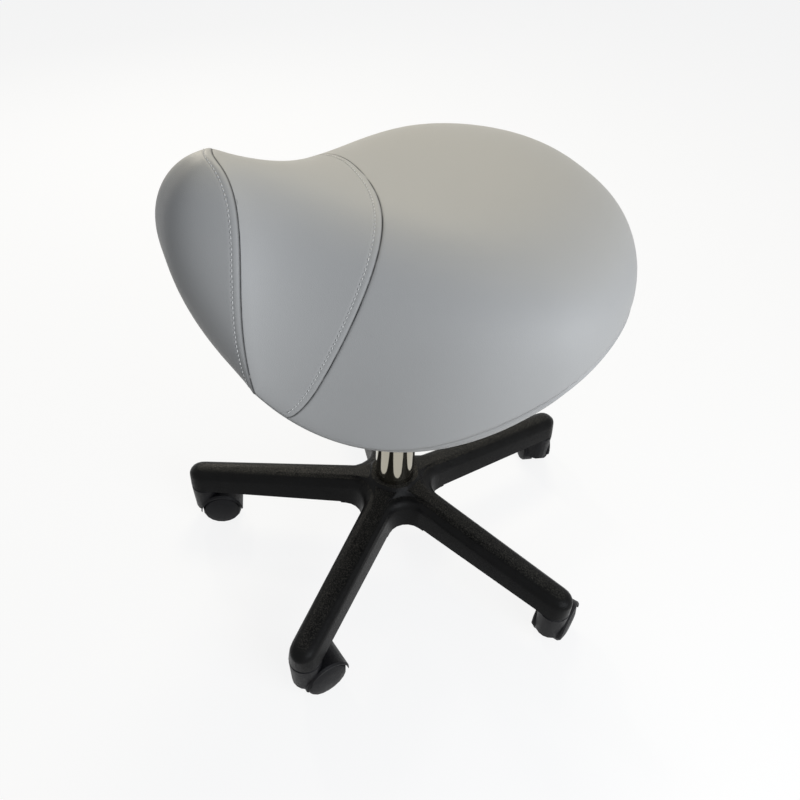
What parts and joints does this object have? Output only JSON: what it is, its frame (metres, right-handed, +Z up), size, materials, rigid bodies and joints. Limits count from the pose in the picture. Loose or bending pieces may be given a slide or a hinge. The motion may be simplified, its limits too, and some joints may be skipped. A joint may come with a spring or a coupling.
{
  "type": "saddle stool",
  "caption": "Saddle stool: padded vinyl seat with a raised pommel on a chrome gas-lift column, star base and hooded twin-wheel casters; the seat swivels and its height is set by a lever.",
  "frame": {"origin": "on the floor under the middle of the stool's outline in plan, seat at its lowest height", "axes": "+Z up, the seat's front and pommel towards -Y, the user's left towards +X"},
  "size_m": [0.5229, 0.5306, 0.5796],
  "materials": {
    "seat_vinyl": "light grey upholstery vinyl, satin, fine grain",
    "foam": "open-cell foam, matte",
    "shell_plastic": "moulded, matte",
    "dust_cloth": "non-woven cloth, matte",
    "chrome": "polished chrome plate",
    "black_nylon": "moulded with a fine leather grain",
    "caster_nylon": "moulded, satin",
    "wheel_nylon": "moulded, half gloss",
    "bush_plastic": "moulded, matte",
    "rubber": "matte",
    "black_steel": "black powder coat",
    "bright_steel": "zinc plated, satin"
  },
  "bodies": {
    "base": {"five_star_base": "black_nylon", "column_tube": "chrome", "guide_bush": "bush_plastic", "lower_bearing_washer": "bright_steel", "thrust_bearing": "bright_steel", "caster_1_stem": "bright_steel", "caster_2_stem": "bright_steel", "caster_3_stem": "bright_steel", "caster_4_stem": "bright_steel", "caster_5_stem": "bright_steel"},
    "lift_rod": {"piston_rod": "bright_steel", "upper_bearing_washer": "bright_steel", "rubber_buffer": "rubber", "retaining_clip": "bright_steel"},
    "seat": {"gas_cylinder": "black_steel", "seat_plate": "black_steel", "taper_socket": "bright_steel", "lever_bush": "bush_plastic", "rear_seat_panel": "seat_vinyl", "pommel_panel": "seat_vinyl", "front_panel": "seat_vinyl", "edge_band": "seat_vinyl", "seat_foam": "foam", "seat_shell": "shell_plastic", "dust_cover": "dust_cloth", "plate_bolt_1": "bright_steel", "plate_bolt_2": "bright_steel", "plate_bolt_3": "bright_steel", "plate_bolt_4": "bright_steel", "threaded_insert_1": "bright_steel", "threaded_insert_2": "bright_steel", "threaded_insert_3": "bright_steel", "threaded_insert_4": "bright_steel"},
    "lever": {"height_lever": "black_steel", "lever_grip": "black_nylon"},
    "button": {"release_button": "bright_steel"},
    "caster_1": {"caster_1_housing": "caster_nylon", "caster_1_axle": "bright_steel"},
    "caster_1_left_wheel": {"caster_1_left_wheel": "wheel_nylon"},
    "caster_1_right_wheel": {"caster_1_right_wheel": "wheel_nylon"},
    "caster_2": {"caster_2_housing": "caster_nylon", "caster_2_axle": "bright_steel"},
    "caster_2_left_wheel": {"caster_2_left_wheel": "wheel_nylon"},
    "caster_2_right_wheel": {"caster_2_right_wheel": "wheel_nylon"},
    "caster_3": {"caster_3_housing": "caster_nylon", "caster_3_axle": "bright_steel"},
    "caster_3_left_wheel": {"caster_3_left_wheel": "wheel_nylon"},
    "caster_3_right_wheel": {"caster_3_right_wheel": "wheel_nylon"},
    "caster_4": {"caster_4_housing": "caster_nylon", "caster_4_axle": "bright_steel"},
    "caster_4_left_wheel": {"caster_4_left_wheel": "wheel_nylon"},
    "caster_4_right_wheel": {"caster_4_right_wheel": "wheel_nylon"},
    "caster_5": {"caster_5_housing": "caster_nylon", "caster_5_axle": "bright_steel"},
    "caster_5_left_wheel": {"caster_5_left_wheel": "wheel_nylon"},
    "caster_5_right_wheel": {"caster_5_right_wheel": "wheel_nylon"}
  },
  "joints": [
    {"name": "seat_swivel", "type": "hinge", "parent": "base", "child": "lift_rod", "pos_m": [0.01253, -0.01667, 0.089], "axis": [0, 0, 1], "continuous": true},
    {"name": "seat_height", "type": "slide", "parent": "lift_rod", "child": "seat", "axis": [0, 0, 1], "range_m": [0, 0.16]},
    {"name": "height_lever_tip", "type": "hinge", "parent": "seat", "child": "lever", "pos_m": [-0.03472, -0.01667, 0.3907], "axis": [0, 1, 0], "range_deg": [0, 5.5], "stiffness_Nm_per_rad": 2, "springref_deg": -5.73},
    {"name": "release_button_press", "type": "slide", "parent": "seat", "child": "button", "axis": [0, 0, -1], "range_m": [0, 0.005]},
    {"name": "caster_1_swivel", "type": "hinge", "parent": "base", "child": "caster_1", "pos_m": [0.24063, 0.09955, 0], "axis": [0, 0, 1], "continuous": true},
    {"name": "caster_1_left_wheel_spin", "type": "hinge", "parent": "caster_1", "child": "caster_1_left_wheel", "pos_m": [0.23056, 0.11447, 0.025], "axis": [-0.829, -0.5592, 0], "continuous": true},
    {"name": "caster_1_right_wheel_spin", "type": "hinge", "parent": "caster_1", "child": "caster_1_right_wheel", "pos_m": [0.23056, 0.11447, 0.025], "axis": [-0.829, -0.5592, 0], "continuous": true},
    {"name": "caster_2_swivel", "type": "hinge", "parent": "base", "child": "caster_2", "pos_m": [-0.02752, 0.23618, 0], "axis": [0, 0, 1], "continuous": true},
    {"name": "caster_2_left_wheel_spin", "type": "hinge", "parent": "caster_2", "child": "caster_2_left_wheel", "pos_m": [-0.0449, 0.24083, 0.025], "axis": [-0.2588, -0.9659, 0], "continuous": true},
    {"name": "caster_2_right_wheel_spin", "type": "hinge", "parent": "caster_2", "child": "caster_2_right_wheel", "pos_m": [-0.0449, 0.24083, 0.025], "axis": [-0.2588, -0.9659, 0], "continuous": true},
    {"name": "caster_3_swivel", "type": "hinge", "parent": "base", "child": "caster_3", "pos_m": [-0.24032, 0.02338, 0], "axis": [0, 0, 1], "continuous": true},
    {"name": "caster_3_left_wheel_spin", "type": "hinge", "parent": "caster_3", "child": "caster_3_left_wheel", "pos_m": [-0.22875, 0.00959, 0.025], "axis": [0.766, 0.6428, 0], "continuous": true},
    {"name": "caster_3_right_wheel_spin", "type": "hinge", "parent": "caster_3", "child": "caster_3_right_wheel", "pos_m": [-0.22875, 0.00959, 0.025], "axis": [0.766, 0.6428, 0], "continuous": true},
    {"name": "caster_4_swivel", "type": "hinge", "parent": "base", "child": "caster_4", "pos_m": [-0.10369, -0.24477, 0], "axis": [0, 0, 1], "continuous": true},
    {"name": "caster_4_left_wheel_spin", "type": "hinge", "parent": "caster_4", "child": "caster_4_left_wheel", "pos_m": [-0.09903, -0.22738, 0.025], "axis": [-0.9659, 0.2588, 0], "continuous": true},
    {"name": "caster_4_right_wheel_spin", "type": "hinge", "parent": "caster_4", "child": "caster_4_right_wheel", "pos_m": [-0.09903, -0.22738, 0.025], "axis": [-0.9659, 0.2588, 0], "continuous": true},
    {"name": "caster_5_swivel", "type": "hinge", "parent": "base", "child": "caster_5", "pos_m": [0.19355, -0.19769, 0], "axis": [0, 0, 1], "continuous": true},
    {"name": "caster_5_left_wheel_spin", "type": "hinge", "parent": "caster_5", "child": "caster_5_left_wheel", "pos_m": [0.18981, -0.18008, 0.025], "axis": [-0.9781, -0.2079, 0], "continuous": true},
    {"name": "caster_5_right_wheel_spin", "type": "hinge", "parent": "caster_5", "child": "caster_5_right_wheel", "pos_m": [0.18981, -0.18008, 0.025], "axis": [-0.9781, -0.2079, 0], "continuous": true}
  ],
  "couplings": [
    {"joint": "release_button_press", "follows": "height_lever_tip", "m_per_rad": 0.04725}
  ]
}
